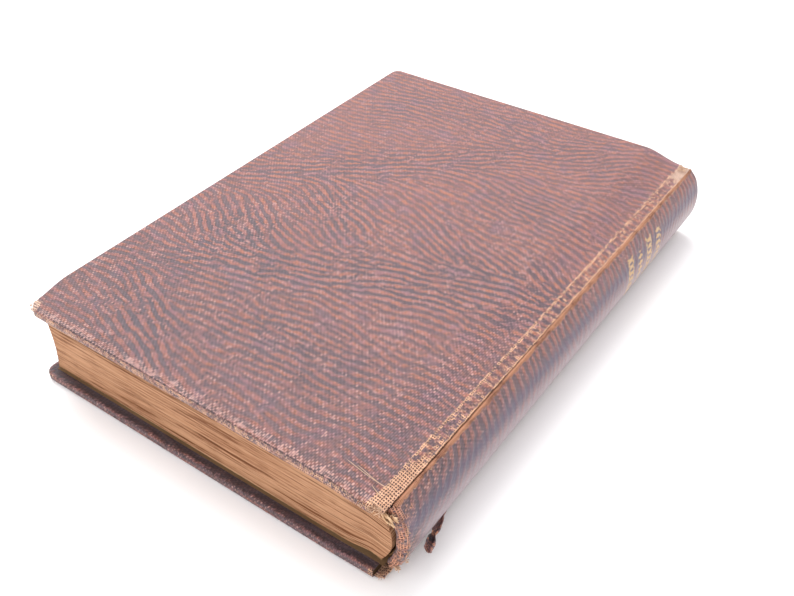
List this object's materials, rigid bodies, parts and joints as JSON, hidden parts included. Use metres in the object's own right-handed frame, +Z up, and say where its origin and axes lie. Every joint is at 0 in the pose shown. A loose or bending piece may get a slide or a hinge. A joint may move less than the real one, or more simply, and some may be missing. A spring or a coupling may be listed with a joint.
{
  "type": "hardback book",
  "caption": "Worn cloth-covered hardback book with a rounded spine and hollow back, lying shut on its front cover; both covers open on their joints.",
  "frame": {"origin": "middle of the closed book's box, at the face it lies on", "axes": "+X from the fore-edge to the spine, +Y from the tail to the head, +Z up through the closed book, towards its back cover"},
  "size_m": [0.1354, 0.19, 0.03],
  "materials": {
    "book_cloth": "matte",
    "millboard": "matte",
    "page_paper": "matte",
    "endpaper": "matte",
    "spine_card": "matte",
    "lining_paper": "matte",
    "gauze": "matte",
    "thread": "matte"
  },
  "bodies": {
    "book_block": {"text_block": "page_paper", "sewing_threads": "thread", "spine_gauze": "gauze", "spine_lining": "lining_paper", "spine_inlay": "spine_card", "spine_cloth": "book_cloth", "front_flyleaf": "endpaper", "back_flyleaf": "endpaper"},
    "back_cover": {"back_board": "millboard", "back_cloth": "book_cloth", "back_gauze_flange": "gauze", "back_pastedown": "endpaper"},
    "front_cover": {"front_board": "millboard", "front_cloth": "book_cloth", "front_gauze_flange": "gauze", "front_pastedown": "endpaper"}
  },
  "joints": [
    {"name": "back_cover_hinge", "type": "hinge", "parent": "book_block", "child": "back_cover", "pos_m": [0.06325, 0, 0.02785], "axis": [0, 1, 0], "range_deg": [0, 180]},
    {"name": "front_cover_hinge", "type": "hinge", "parent": "book_block", "child": "front_cover", "pos_m": [0.06325, 0, 0.00215], "axis": [0, -1, 0], "range_deg": [0, 180]}
  ]
}
